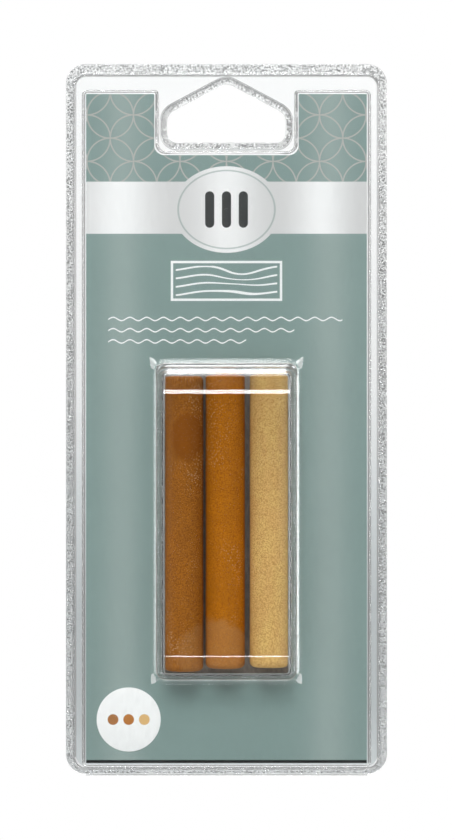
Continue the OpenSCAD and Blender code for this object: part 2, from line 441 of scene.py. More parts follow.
def edge_level(inset, edge):
    """Level of the outermost ring of a cut edge, turned a little into the sheet."""
    return edge + math.copysign(EDGE_SOFT, inset - edge)


def low_fold(shell, inset):
    """Fillet of the low steps, tighter on the inner side."""
    return shell.fold / 3 if inset else shell.fold


def flange_and_margin(sheet, shell, height, inset, edge):
    """Rings from the edge of the flange over the margin wall to the margin."""
    corners = margin_outline(shell)
    radii = [margin_radius(shell)] * 4
    rise = height - shell.sheet
    fold = low_fold(shell, inset)
    profile = wall_profile(shell.margin_run * rise / height, rise, fold, fold)
    outer = [shell.pack_r] * 4
    rings = [
        sheet.ring(rounded(pack_outline(), outer), edge_level(inset, edge)),
        sheet.ring(rounded(pack_outline(), outer, -EDGE_SOFT), edge),
    ]
    sheet.level_off(rings[-1])
    rings += step_rings(
        sheet, lambda grow: rounded(corners, radii, grow), shell.sheet, profile, inset
    )
    return rings


def hole_rings(sheet, shell, height, inset, edge):
    """Rings from the edge of the hang hole over its welded rim up to the land."""
    fold = low_fold(shell, inset)
    rings = [
        sheet.ring(hang_hole(), edge_level(inset, edge)),
        sheet.ring(hang_hole(EDGE_SOFT), edge),
    ]
    for grow, up in wall_profile(fold, height - shell.sheet, fold, fold):
        reach = shell.rim + fold - grow + inset
        rings.append(sheet.ring(hang_hole(reach), shell.sheet - inset + up))
    sheet.level_off(rings[1], rings[2], rings[-1])
    return rings


def welded_rims(sheet, shell, height, inset, edge, weld_slot):
    """Joined rings of the flange and of the hole; outside, the strip by the edge is a weld."""
    sheet.facing = Vector((0, 1 if inset else -1, 0))
    rims = [part(sheet, shell, height, inset, edge) for part in (flange_and_margin, hole_rings)]
    for rings in rims:
        sheet.loft(rings[:2])
        sheet.loft(rings[1:3], CLEAR if inset else weld_slot)
        sheet.loft(rings[2:])
    return rims


def window_level(bay, z):
    """Drop of the window at a height: none between the creases, sloped beyond them."""
    drop = 0.0
    soft = bay.crease_soft
    for past, span in (
        (z - bay.crease_top, bay.head_top - bay.crease_top),
        (bay.crease_low - z, bay.crease_low - bay.head_low),
    ):
        if past > soft:
            beyond = past
        elif past > -soft:
            beyond = (past + soft) ** 2 / (4 * soft)
        else:
            beyond = 0.0
        drop += beyond * bay.facet_drop / span
    return drop


def window_normal(sheet, bay, z):
    """Direction that the window faces at a height."""
    near = 0.01 * MM
    slope = [window_level(bay, z + d) for d in (-near, near)]
    out = Vector((0, -1, (slope[1] - slope[0]) / (2 * near))).normalized()
    return out if sheet.facing.y < 0 else -out


FOOT_CORNER = 3.4 * MM
WINDOW_CORNER = 1.3 * MM
CORNER_STEPS = 14
SIDE_ROWS = 46
END_POINTS = 15
# Share and climb along the stepped upper wall, and how tight its corners are before and after.
STAIR = ((0, 0), (0.28, 0.075), (0.32, 0.465), (0.59, 0.54), (0.63, 0.93), (1, 1))
TIGHT = 0.12
LOOSE = 0.3
FOOT_RUN = (0.12, 0.03)
STAIR_STEPS = 4
HEAD_STEPS = 5
# Share and climb of the low skirt of the plain walls.
SKIRT = 0.38
SKIRT_CLIMB = 0.095
# Share where the webs end, reach of the lower webs, and arc steps that a web takes each way.
WEB_TOP = 0.42
LOW_WEB = 0.7
WEB_BY_SIDE = 4.4
WEB_BY_END = 1.9
# Faces of a web: how far beyond the round corner, and how far to either side.
WEB_CLEAR = 0.15 * MM
WEB_LEAN = (-0.12, 0.62)


def draw_webs(arcs, strength):
    """Pulls the corners of one ring of the bay outwards, most of all along the side walls."""
    count = CORNER_STEPS + 1
    for k in range(4):
        out = Vector((1 if k in (1, 2) else -1, 1 if k > 1 else -1)).normalized()
        reach = strength if k > 1 else strength * LOW_WEB
        for step in range(count):
            past = step - CORNER_STEPS / 2
            by_side = past > 0 if k in (1, 3) else past < 0
            near = 1 - abs(past) / (WEB_BY_SIDE if by_side else WEB_BY_END)
            if near > 0:
                arcs[k * count + step] += out * (reach * near)


def bay_ring(sheet, shell, bay, share, climb, grow, inset):
    """One ring of the bay: share of the way from foot to window, climb of the same in height."""
    half = bay.foot_half + (bay.head_half - bay.foot_half) * share
    top = bay.foot_top + (bay.head_top - bay.foot_top) * share
    low = bay.foot_low + (bay.head_low - bay.foot_low) * share
    radius = FOOT_CORNER + (WINDOW_CORNER - FOOT_CORNER) * share
    arcs = rounded(rect(-half, half, low, top), [radius] * 4, grow - inset, CORNER_STEPS)
    if not inset and share < WEB_TOP:
        draw_webs(arcs, bay.web_reach * (1 - share / WEB_TOP))
    count = CORNER_STEPS + 1
    rows = side_rows(bay, low + radius, top - radius)
    outline = []
    stepped = []
    for k in range(4):
        arc = arcs[k * count:(k + 1) * count]
        outline += arc
        turned = [step / CORNER_STEPS if k > 1 else 0.0 for step in range(count)]
        stepped += turned[::-1] if k == 3 else turned
        end = arcs[((k + 1) * count) % (4 * count)]
        if k in (0, 2):
            outline += [arc[-1].lerp(end, (i + 1) / (END_POINTS + 1)) for i in range(END_POINTS)]
            stepped += [1.0 if k else 0.0] * END_POINTS
        else:
            outline += [Vector((arc[-1].x, z)) for z in (rows if k == 1 else rows[::-1])]
            stepped += [0.0] * SIDE_ROWS
    plain = share / SKIRT * SKIRT_CLIMB
    if share >= SKIRT:
        plain = SKIRT_CLIMB + (share - SKIRT) / (1 - SKIRT) * (1 - SKIRT_CLIMB)
    levels = []
    for p, part in zip(outline, stepped):
        rise = -FRONT_LOW.y - shell.pocket_h - window_level(bay, p.y)
        levels.append(shell.pocket_h - inset + rise * (plain + (climb - plain) * part))
    return sheet.ring(outline, levels)


def cloud_webs(sheet, bay):
    """Gives the webs, which stand out beyond the round corners of the bay, their own finish."""
    middle = (bay.foot_top + bay.foot_low) / 2
    reach_x = bay.foot_half - FOOT_CORNER
    reach_z = bay.foot_top - FOOT_CORNER - middle
    for made in sheet.bm.faces:
        if made.material_index == DRAWN:
            spot = made.calc_center_median()
            past = Vector((abs(spot.x) - reach_x, abs(spot.z - middle) - reach_z))
            lean = (past.x - past.y) / past.length
            beyond = min(past) > 0 and past.length > FOOT_CORNER + WEB_CLEAR
            if beyond and WEB_LEAN[0] < lean < WEB_LEAN[1]:
                made.material_index = WEB


def side_rows(bay, low, top):
    """Heights along the sides of the bay, closer together at the creases."""
    step = bay.crease_soft / 4
    reach = 5 * step
    creases = (bay.crease_low, bay.crease_top)
    marks = [crease + step * k for crease in creases for k in range(-5, 6)]
    spare = SIDE_ROWS - len(marks) - 4
    for end, start in ((low, bay.crease_low - reach), (top, bay.crease_top + reach)):
        marks += [end + (start - end) * k / 3 for k in (1, 2)]
    start = bay.crease_low + reach
    span = bay.crease_top - reach - start
    marks += [start + span * (k + 1) / (spare + 1) for k in range(spare)]
    return sorted(marks)


def bay_rings(sheet, shell, bay, inset):
    """Rings of the bay from its foot fillet to the edge of the window."""
    head = bay.head_fillet
    steps = bezier((0, 0, bay.foot_fillet), (0, 0, 0), (*FOOT_RUN, 0), STAIR_STEPS)
    for before, corner, after in zip(STAIR, STAIR[1:], STAIR[2:]):
        lead, trail = (TIGHT, LOOSE) if corner in STAIR[2::2] else (LOOSE, TIGHT)
        first = [c - (c - b) * lead for b, c in zip(before, corner)]
        last = [c + (a - c) * trail for a, c in zip(after, corner)]
        steps += bezier((*first, 0), (*corner, 0), (*last, 0), STAIR_STEPS)
    near = 1 - head / (-FRONT_LOW.y - shell.pocket_h) * 0.5
    steps += bezier((near, near, 0), (1, 1, 0), (1, 1, -head), HEAD_STEPS)
    rings = [bay_ring(sheet, shell, bay, *step, inset) for step in steps]
    sheet.level_off(rings[0])
    for vert in rings[-1]:
        sheet.normals[vert] = window_normal(sheet, bay, vert.co.z)
    return rings


def window_fill(sheet, bay, ring, inset):
    """Rows of quads across the window, between the left and right of its ring."""
    count = CORNER_STEPS + 1
    low_end = count + END_POINTS
    right_end = low_end + 2 * count + SIDE_ROWS
    top_end = right_end + END_POINTS
    right = ring[low_end:right_end]
    left = ring[:count][::-1] + ring[top_end:][::-1]
    rows = [[left[0]] + ring[count:low_end] + [right[0]]]
    for a, b in zip(left[1:-1], right[1:-1]):
        row = [a]
        for i in range(END_POINTS):
            x = a.co.x + (b.co.x - a.co.x) * (i + 1) / (END_POINTS + 1)
            z = a.co.z + (b.co.z - a.co.z) * (i + 1) / (END_POINTS + 1)
            level = -FRONT_LOW.y - inset - window_level(bay, z)
            row.append(sheet.bm.verts.new((x, -level, z)))
            sheet.normals[row[-1]] = window_normal(sheet, bay, z)
        rows.append(row + [b])
    rows.append([left[-1]] + ring[right_end:top_end][::-1] + [right[-1]])
    for first, second in zip(rows, rows[1:]):
        for i in range(len(first) - 1):
            sheet.face((first[i], first[i + 1], second[i + 1], second[i]))


def front_side(sheet, shell, bay, inset, edge):
    """One side of the front sheet; returns the rings at its outer edge and at the hole."""
    margin, hole = welded_rims(sheet, shell, shell.margin_h, inset, edge, WELD)
    corners = pocket_outline(shell)
    pocket = step_rings(
        sheet,
        lambda grow: rounded(corners, POCKET_RADII, grow),
        shell.margin_h,
        wall_profile(
            shell.pocket_run, shell.pocket_h - shell.margin_h, shell.fold * 0.6, shell.fold
        ),
        inset,
    )
    raised = bay_rings(sheet, shell, bay, inset)
    sheet.loft(pocket)
    sheet.loft(raised, DRAWN)
    if not inset:
        cloud_webs(sheet, bay)
    sheet.fill(margin[-1], pocket[0], hole[-1])
    sheet.fill(pocket[-1], raised[0])
    window_fill(sheet, bay, raised[-1], inset)
    return margin[0], hole[0]


def rear_side(sheet, shell, inset, edge):
    """One side of the rear sheet; returns the rings at its outer edge and at the hole."""
    margin, hole = welded_rims(sheet, shell, REAR_HIGH.y, inset, edge, REAR_WELD)
    sheet.fill(margin[-1], hole[-1])
    return margin[0], hole[0]


def add_node(tree, kind, **settings):
    """A node with its settings."""
    node = tree.nodes.new(kind)
    for name, value in settings.items():
        setattr(node, name, value)
    return node


class Value:
    """An output of a node that can be worked with like a number."""

    def __init__(self, socket):
        self.socket = socket
        self.tree = socket.id_data

    def __add__(self, other):
        return calc("ADD", self, other)

    def __sub__(self, other):
        return calc("SUBTRACT", self, other)

    def __rsub__(self, other):
        return calc("SUBTRACT", other, self)

    def __mul__(self, other):
        return calc("MULTIPLY", self, other)

    def __truediv__(self, other):
        return calc("DIVIDE", self, other)

    def __abs__(self):
        return calc("ABSOLUTE", self)


def values_of(node):
    """The outputs of a node by their names."""
    return {socket.name: Value(socket) for socket in node.outputs}


def tree_of(*sources):
    """The node tree that the values among some sources belong to."""
    return [source.tree for source in sources if isinstance(source, Value)][0]


def feed(socket, source):
    """Links an input to a value of the tree, or gives it a plain number or colour."""
    if isinstance(source, Value):
        source.tree.links.new(source.socket, socket)
    else:
        socket.default_value = source


def feed_all(node, **sources):
    """Feeds several inputs of a node, named with underscores for spaces."""
    for label, source in sources.items():
        feed(node.inputs[label.replace("_", " ")], source)


def calc(operation, *sources):
    """A Math node."""
    node = add_node(tree_of(*sources), "ShaderNodeMath", operation=operation)
    for socket, source in zip(node.inputs, sources):
        feed(socket, source)
    return Value(node.outputs[0])


def blend_colour(share, first, second, blend_type="MIX"):
    """A Mix node for colours."""
    tree = tree_of(share, first, second)
    node = add_node(tree, "ShaderNodeMix", data_type="RGBA", blend_type=blend_type)
    feed(node.inputs[0], share)
    for socket, colour in ((node.inputs[6], first), (node.inputs[7], second)):
        feed(socket, colour if isinstance(colour, Value) else (*colour, 1))
    return Value(node.outputs[2])


def ramp(value, low, high, to_low=0.0, to_high=1.0, smooth=True):
    """A Map Range node."""
    node = add_node(value.tree, "ShaderNodeMapRange", clamp=True)
    node.interpolation_type = "SMOOTHSTEP" if smooth else "LINEAR"
    for socket, source in zip(node.inputs, (value, low, high, to_low, to_high)):
        feed(socket, source)
    return Value(node.outputs[0])


def under(value, limit, soft=0.05, strength=1.0):
    """A mask for values below a limit, with a soft edge."""
    return ramp(value, limit + soft, limit - soft, 0.0, strength)


def far_from(across, up):
    """Length of a step across and up."""
    return calc("SQRT", across * across + up * up)


def choose(share, first, second):
    """The second value where share is 1, else the first."""
    return (1.0 - share) * first + second * share


def scaled(colour, factor):
    """A colour made lighter or darker."""
    node = add_node(colour.tree, "ShaderNodeVectorMath", operation="SCALE")
    feed(node.inputs[0], colour)
    feed(node.inputs["Scale"], factor)
    return Value(node.outputs[0])


def coordinates(tree, kind):
    """One kind of texture coordinates."""
    return Value(add_node(tree, "ShaderNodeTexCoord").outputs[kind])


def split_vector(vector):
    """The X, Y and Z of a vector."""
    node = add_node(vector.tree, "ShaderNodeSeparateXYZ")
    feed(node.inputs[0], vector)
    return values_of(node)


def stretched(vector, up):
    """Coordinates that draw a texture out along the object."""
    node = add_node(vector.tree, "ShaderNodeMapping")
    feed_all(node, Vector=vector, Scale=(1, 1, up))
    return Value(node.outputs[0])


def noise_value(vector, scale, detail=2.0, roughness=0.5):
    """A Noise texture's value."""
    node = add_node(vector.tree, "ShaderNodeTexNoise")
    feed_all(node, Vector=vector, Scale=scale, Detail=detail, Roughness=roughness)
    return Value(node.outputs["Fac"])


def spots(vector, scale):
    """Distance to the nearest of many scattered points."""
    node = add_node(vector.tree, "ShaderNodeTexVoronoi", feature="F1")
    feed_all(node, Vector=vector, Scale=scale)
    return Value(node.outputs["Distance"])


FLOAT = "NodeSocketFloat"
COLOUR = "NodeSocketColor"
VECTOR = "NodeSocketVector"
LEAST_ROUGH = 0.015
SPECK_CONTRAST = 0.36


def new_group(name, inputs, outputs):
    """A shader group with its sockets; returns it with its given values and its output node."""
    tree = bpy.data.node_groups.new(name, "ShaderNodeTree")
    for label, kind, value in inputs:
        socket = tree.interface.new_socket(label, in_out="INPUT", socket_type=kind)
        if value is not None:
            socket.default_value = value
    for label, kind in outputs:
        tree.interface.new_socket(label, in_out="OUTPUT", socket_type=kind)
    given = values_of(add_node(tree, "NodeGroupInput"))
    return tree, given, add_node(tree, "NodeGroupOutput")


def group_values(name, build, coords, **settings):
    """What a shader group, built on first use, gives in a material for its own settings."""
    group = bpy.data.node_groups.get(name) or build(name)
    node = add_node(coords.tree, "ShaderNodeGroup", node_tree=group)
    feed_all(node, Vector=coords, **settings)
    return values_of(node)


def build_paper_grain(name):
    """Fibres and flecks of paper."""
    tree, given, result = new_group(
        name,
        [("Vector", VECTOR, None), ("Fibre scale", FLOAT, 900.0)],
        [("Tone", FLOAT), ("Height", FLOAT)],
    )
    vector = given["Vector"]
    fibre = noise_value(stretched(vector, 0.35), given["Fibre scale"], 3.0)
    tone = fibre * 0.6 + noise_value(vector, 60.0, 3.0) * 0.4
    feed_all(result, Tone=tone, Height=fibre)
    return tree


def build_sheet_ripple(name):
    """Slow waves, fine haze, knurled relief and specks of a formed clear sheet."""
    tree, given, result = new_group(
        name,
        [("Vector", VECTOR, None), ("Haze", FLOAT, 0.03), ("Knurl", FLOAT, 0.0)],
        [("Height", FLOAT), ("Roughness", FLOAT), ("Tone", FLOAT), ("Speckle", FLOAT)],
    )
    vector = given["Vector"]
    wave = noise_value(vector, 45.0, 1.0)
    fine = noise_value(vector, 260.0, 2.0)
    pressed = noise_value(vector, 2000.0, 2.0, 0.6)
    specks = noise_value(vector, 3000.0, 1.0)
    feed_all(
        result,
        Height=wave + fine * 0.06 + pressed * given["Knurl"],
        Roughness=ramp(fine, 0.3, 0.8) * given["Haze"] + LEAST_ROUGH,
        Tone=wave,
        Speckle=ramp(specks, 0.38, 0.62),
    )
    return tree


def build_wax_grain(name):
    """Mottle, fine grain, pale flecks and pits of cast wax."""
    tree, given, result = new_group(
        name,
        [
            ("Vector", VECTOR, None),
            ("Wax", COLOUR, (0.3, 0.1, 0.01, 1)),
            ("Grain", FLOAT, 0.25),
            ("Flecks", FLOAT, 0.5),
        ],
        [("Color", COLOUR), ("Roughness", FLOAT), ("Height", FLOAT)],
    )
    vector = given["Vector"]
    plain = given["Wax"]
    deep = blend_colour(1.0, plain, (0.62, 0.52, 0.4), "MULTIPLY")
    lifted = blend_colour(0.3, plain, (1.0, 1.0, 0.9), "OVERLAY")
    mottle = noise_value(stretched(vector, 0.45), 330.0, 4.0, 0.6)
    grain = noise_value(vector, 3400.0, 2.0, 0.6)
    colour = blend_colour(ramp(mottle, 0.35, 0.72, 0.0, 0.55), plain, lifted)
    colour = blend_colour(ramp(grain, 0.45, 0.6) * given["Grain"], colour, deep)
    patch = ramp(noise_value(vector, 90.0, 2.0), 0.48, 0.66)
    fleck = under(spots(vector, 1900.0), 0.24, 0.1) * patch * given["Flecks"]
    pit = under(spots(vector, 700.0), 0.14, 0.06)
    feed_all(
        result,
        Color=blend_colour(fleck, colour, (0.86, 0.62, 0.33)),
        Roughness=ramp(mottle, 0.3, 0.8, 0.56, 0.72),
        Height=grain * 0.7 - pit,
    )
    return tree


def empty_nodes(owner):
    """The node tree of a material or a world, emptied."""
    owner.use_nodes = True
    owner.node_tree.nodes.clear()
    return owner.node_tree


def new_material(name):
    """A material with its Principled node and object coordinates."""
    material = bpy.data.materials.new(name)
    tree = empty_nodes(material)
    principled = add_node(tree, "ShaderNodeBsdfPrincipled")
    output = add_node(tree, "ShaderNodeOutputMaterial")
    feed(output.inputs["Surface"], Value(principled.outputs[0]))
    return material, principled, coordinates(tree, "Object")


def show_mix(share, first, second):
    """Shows a mix of two shaders, on the output that the material has or on a new one."""
    tree = share.tree
    outputs = [node for node in tree.nodes if node.type == "OUTPUT_MATERIAL"]
    output = outputs[0] if outputs else add_node(tree, "ShaderNodeOutputMaterial")
    mix = add_node(tree, "ShaderNodeMixShader")
    sources = (share, Value(first.outputs[0]), Value(second.outputs[0]))
    for socket, source in zip(mix.inputs, sources):
        feed(socket, source)
    feed(output.inputs["Surface"], Value(mix.outputs[0]))


def bump(principled, height, strength, distance):
    """Relief of a surface."""
    node = add_node(height.tree, "ShaderNodeBump")
    feed_all(node, Strength=strength, Distance=distance, Height=height)
    feed(principled.inputs["Normal"], Value(node.outputs[0]))


def clear_sheet(name, haze, ripple, dull=0.0, knurl=0.0, shadows=1.0, clear=1.0):
    """Clear formed plastic that lets lamps reach what is behind it; a weld has dark specks."""
    material, principled, coords = new_material(name)
    waves = group_values("Sheet ripple", build_sheet_ripple, coords, Haze=haze, Knurl=knurl)
    colour = blend_colour(ramp(waves["Tone"], 0.3, 0.7), (0.98, 0.99, 0.99), (0.995, 1.0, 1.0))
    if shadows < 1:
        lit = shadows + SPECK_CONTRAST
        specks = blend_colour(waves["Speckle"], (shadows,) * 3, (lit,) * 3)
        colour = blend_colour(1.0, colour, specks, "MULTIPLY")
    feed_all(principled, Base_Color=colour, Roughness=waves["Roughness"] + dull)
    feed_all(principled, IOR=1.5, Transmission_Weight=clear)
    bump(principled, waves["Height"], ripple, 0.4 * MM)
    path = values_of(add_node(coords.tree, "ShaderNodeLightPath"))
    slant = add_node(coords.tree, "ShaderNodeLayerWeight")
    slant.inputs["Blend"].default_value = 0.3
    steep = ramp(Value(slant.outputs["Facing"]), 0.19, 1.0, smooth=False)
    veil = add_node(coords.tree, "ShaderNodeBsdfTransparent")
    feed(veil.inputs["Color"], blend_colour(steep, (0.97, 0.98, 0.98), (0.35, 0.37, 0.37)))
    show_mix(calc("MAXIMUM", path["Is Shadow Ray"], path["Is Diffuse Ray"]), principled, veil)
    return material


# Heights on the card and softness of its lines, in millimetres.
BAND_UP = -30.95
PLAQUE_UP = -31.4
FOLD_SHADE_UP = -168.7
BACK_PANEL_UP = -95.0
RING_LIFT = 2.0
LINE_SOFT = 0.06


def in_mm(coords):
    """Across and up on the object, in millimetres."""
    spot = split_vector(coords)
    return spot["X"] * (1 / MM), spot["Z"] * (1 / MM)


def hump(value, centre, width):
    """A soft band, 1 at its centre."""
    away = (value - centre) / width
    return calc("EXPONENT", away * away * -1.0)


def band_sum(value, bands):
    """The sum of several soft bands, at most 1."""
    total = 0.0
    for centre, width, strength in bands:
        total = hump(value, centre, width) * strength + total
    return calc("MINIMUM", total, 1.0)


def cell_distance(x, z, pitch, shift_x, shift_z):
    """Distance to the middle of the square cell that a point lies in."""
    across = calc("FRACT", (x + shift_x) / pitch) - 0.5
    up = calc("FRACT", (z + shift_z) / pitch) - 0.5
    return far_from(across * pitch, up * pitch)


def linked_rings(x, z, radius, half):
    """A mask for two sets of thin rings, each in rows, that link with each other."""
    masks = []
    for shift in (0.0, radius):
        far = cell_distance(x, z, 2 * radius, shift, RING_LIFT + shift)
        masks.append(under(abs(far - radius), half, LINE_SOFT))
    return calc("MAXIMUM", *masks)


def oval(x, z, centre_z, half_w, half_h):
    """Distance from the middle of an oval, 1 on its edge."""
    return far_from(x / half_w, (z - centre_z) / half_h)


def wavy_line(x, z, height, left, right):
    """A mask for a thin waved line across the card."""
    away = z - height - calc("SINE", x * 1.5) * 0.42
    reach = abs(x - (left + right) / 2)
    return under(abs(away), 0.16, 0.07) * under(reach, (right - left) / 2 - 0.1, 0.1)


def box_edge(x, up, half_w, half_h):
    """How far a point lies outside a rectangle round the middle; less than 0 inside."""
    return calc("MAXIMUM", abs(x) - half_w, abs(up) - half_h)


def plank(x, z, centre, half_w, half_h):
    """A mask for a drawn plank with waved grain round a knot."""
    up = z - centre
    edge = box_edge(x, up, half_w, half_h)
    pull = hump(x, 3.0, 5.0) * hump(up, 0.0, 2.6)
    bent = up + pull * up * 0.9 + calc("SINE", x * 0.32) * 0.55
    row = abs(calc("FRACT", bent / 2.1) - 0.5)
    grain = under(row, 0.105, 0.025) * under(edge, -0.95)
    return calc("MAXIMUM", under(abs(edge), 0.3, LINE_SOFT), grain)


def upright_bar(x, z, across, centre, half_w, half_h):
    """A mask for an upright bar with round ends."""
    past = calc("MAXIMUM", abs(z - centre) - half_h, 0.0)
    return under(far_from(x - across, past), half_w, LINE_SOFT)


def paper_grain(coords, fibre_scale=900.0):
    """Tone and relief of paper on the object."""
    return group_values("Paper grain", build_paper_grain, coords, Fibre_scale=fibre_scale)


def coated(principled, grain, colour, darkest, roughness):
    """Finish of a printed and coated side of the card."""
    tone = ramp(grain["Tone"], 0.35, 0.65, darkest, 1.02, smooth=False)
    rough = grain["Tone"] * 0.12 + roughness
    feed_all(principled, Base_Color=scaled(colour, tone), Roughness=rough)
    bump(principled, grain["Height"], 0.05, 0.03 * MM)


def silver_print(card, x, z):
    """Silver band with painted reflection bands and an oval plaque that carries three bars: its
    colour and its mask.
    """
    # Painted reflection: bands of the lit silver stand in for lamps mirrored in the band.
    shine = band_sum(x, ((-26.4, 8.5, 1.0), (0.0, 7.5, 0.85), (23.5, 6.5, 0.95)))
    silver = blend_colour(shine, card.silver, card.silver_lit)
    plaque = oval(x, z, PLAQUE_UP, 13.4, 10.8)
    silver = blend_colour(under(abs(plaque - 0.9), 0.017, 0.005, 0.55), silver, card.ground)
    for across in (-4.2, 0.0, 4.2):
        bar = upright_bar(x, z, across, PLAQUE_UP, 1.15, 3.4)
        silver = blend_colour(bar, silver, card.badge)
    band = under(abs(z - BAND_UP), 6.5)
    return silver, calc("MAXIMUM", band, under(plaque, 1.0, 0.005))


def printed_front(card):
    """Front print: plain ground with soft painted sheen bands, a silver band and a pattern of
    linked rings.
    """
    material, principled, coords = new_material("printed_card_front")
    x, z = in_mm(coords)
    # Painted sheen: two soft lighter bands across the ground stand in for reflected light.
    sheen = band_sum(x, ((-26.0, 5.2, 1.0), (25.6, 5.4, 1.0)))
    ground = blend_colour(sheen, card.ground, card.sheen)
    lines = linked_rings(x, z, 5.8, 0.17) * ramp(z, -24.6, -24.5, 0.0, 0.72)
    ground = blend_colour(lines, ground, card.rule)
    drawn = plank(x, z, -49.2, 13.6, 4.7)
    for height, right in ((-58.7, 29.0), (-61.5, 17.0), (-64.3, 5.0)):
        drawn = calc("MAXIMUM", drawn, wavy_line(x, z, height, -29.6, right))
    ground = blend_colour(drawn, ground, card.motif)
    silver, band = silver_print(card, x, z)
    colour = blend_colour(band, ground, silver)
    # Painted shade: a dark line along the fold, where the card turns away from the light.
    colour = blend_colour(under(z, FOLD_SHADE_UP, 0.1), colour, card.foot)
    coated(principled, paper_grain(coords), colour, 0.975, 0.42)
    principled.inputs["Specular IOR Level"].default_value = 0.2
    return material


def printed_back(card):
    """Back print: a plain pale panel with a thin line in it and a border of the ground ink."""
    material, principled, coords = new_material("printed_card_back")
    x, z = in_mm(coords)
    up = z - BACK_PANEL_UP
    panel = under(box_edge(x, up, 31.05, 69.05), 0.0)
    keyline = under(abs(box_edge(x, up, 29.6, 67.6)), 0.15)
    colour = blend_colour(panel, card.ground, card.silver_lit)
    colour = blend_colour(keyline, colour, card.ground)
    coated(principled, paper_grain(coords), colour, 0.96, 0.45)
    return material


def bare_board(name, colour, spread):
    """Uncoated board with visible fibres."""
    material, principled, coords = new_material(name)
    grain = paper_grain(coords, 1400.0)
    darker = [v * (1 - spread) for v in colour]
    fibres = blend_colour(ramp(grain["Tone"], 0.35, 0.65), darker, colour)
    rough = ramp(grain["Height"], 0.3, 0.7, 0.8, 0.95)
    feed_all(principled, Base_Color=fibres, Roughness=rough)
    bump(principled, grain["Height"], 0.15, 0.05 * MM)
    return material


def label_paper(sticks):
    """White label paper with one dot for each shade."""
    material, principled, coords = new_material("label_paper")
    x, z = in_mm(coords)
    grain = paper_grain(coords, 1100.0)
    centre = (LABEL_LOW + LABEL_HIGH) / 2 / MM
    share = ramp(grain["Tone"], 0.35, 0.65)
    colour = blend_colour(share, (0.9, 0.9, 0.895), (0.97, 0.97, 0.965))
    for shift, tint in ((-3.9, sticks.dark), (0.0, sticks.middle), (3.9, sticks.pale)):
        far = far_from(x - (centre.x + shift), z - centre.z)
        colour = blend_colour(under(far, 1.34, 0.04), colour, tint)
    rough = ramp(grain["Height"], 0.3, 0.7, 0.55, 0.7)
    feed_all(principled, Base_Color=colour, Roughness=rough)
    bump(principled, grain["Height"], 0.06, 0.03 * MM)
    return material


def wax(name, colour, grain, flecks, marks):
    """Cast wax with painted shade that darkens it towards the top; a mark is an oval: place, half
    sizes, colour, strength, edge.
    """
    material, principled, coords = new_material(name)
    settings = {"Wax": (*colour, 1), "Grain": grain, "Flecks": flecks}
    cast = group_values("Wax grain", build_wax_grain, coords, **settings)
    x, z = in_mm(coords)
    # Painted shade: the wax is darkened towards the top, where the upper wall of the bay shades it.
    shown = scaled(cast["Color"], ramp(z, -76.0, -118.0, 0.8, 1.0))
    for across, up, half_w, half_h, tint, strength, soft in marks:
        wobble = noise_value(coords, 320.0, 3.0) * 0.44 - 0.22
        far = oval(x - across, z, up, half_w, half_h) + wobble
        shown = blend_colour(under(far, 1.0, soft, strength), shown, tint)
    feed_all(principled, Base_Color=shown, Roughness=cast["Roughness"])
    principled.inputs["Specular IOR Level"].default_value = 0.06
    bump(principled, cast["Height"], 0.35, 0.06 * MM)
    return material


class WAXPACK_OT_front_shell(bpy.types.Operator):
    """Builds the front half of the clear shell with its bay and hang hole."""

    bl_idname = "wax_pack.front_shell"
    bl_label = "Front shell"

    def execute(self, context):
        shell = context.scene.wax_pack_shell
        bay = context.scene.wax_pack_bay
        sheet = Sheet()
        outside = front_side(sheet, shell, bay, 0, shell.sheet)
        inside = front_side(sheet, shell, bay, shell.sheet - shell.seam, shell.seam)
        sheet.close(outside, inside)
        finishes = [
            clear_sheet("clear_front_sheet", 0.02, 0.03),
            clear_sheet("clear_drawn_wall", 0.02, 0.03, 0.13),
            clear_sheet("clear_front_weld", 0.05, 0.25, 0.22, 0.3, 0.36),
            clear_sheet("cloudy_web", 0.05, 0.03, 0.25, clear=0.62),
        ]
        sheet.finish("front_shell_clear", finishes, "front_half", "front_sheet", ["front_shell"])
        return {"FINISHED"}


# How finely the round shapes are divided, and how far the front print goes round the fold.
FOLD_STEPS = 12
FRONT_FOLDS = 9
NOTCH_STEPS = 8
LABEL_POINTS = 72
WEAR_STEPS = 8
STICK_SIDES = 80
STICK_ROWS = 150
# Spans of the dents along a stick, their stretch, and the shares of even wear, grain and ends.
SLOW_DENT = 6 * MM
FINE_DENT = 1.3 * MM
DENT_STRETCH = 0.35
EVEN_WEAR = 0.25
FINE_WEAR = 0.08
END_WEAR = 0.6
# Foot of a weld tooth as a share of the pitch, sizes, crowding, and where the teeth stand.
TOOTH_FOOT = 0.8
TOOTH_SIZES = (0.55, 1.05)
TOOTH_CROWD = 4
TOOTH_TO_EDGE = 0.42 * MM
TOOTH_TO_WALL = 0.1 * MM
TOOTH_SINK = 0.02 * MM


def fold_mesh(low, high):
    """Half-round strip along the fold, in the space of its solid."""
    bm = bmesh.new()
    middle = (low.y + high.y) / 2
    half = (high.y - low.y) / 2
    depth = high.z - low.z
    turns = [math.pi * (1 + step / FOLD_STEPS) for step in range(FOLD_STEPS + 1)]
    ends = []
    for x in (low.x, high.x):
        bend = [(x, middle + half * math.cos(a), high.z + depth * math.sin(a)) for a in turns]
        ends.append([bm.verts.new(spot) for spot in bend])
    left, right = ends
    for i in range(FOLD_STEPS + 1):
        bm.faces.new((left[i - 1], left[i], right[i], right[i - 1]))
    bm.faces.new(left)
    bm.faces.new(right)
    bmesh.ops.recalc_face_normals(bm, faces=bm.faces)
    return mesh_of(bm, "fold_strip_clear")


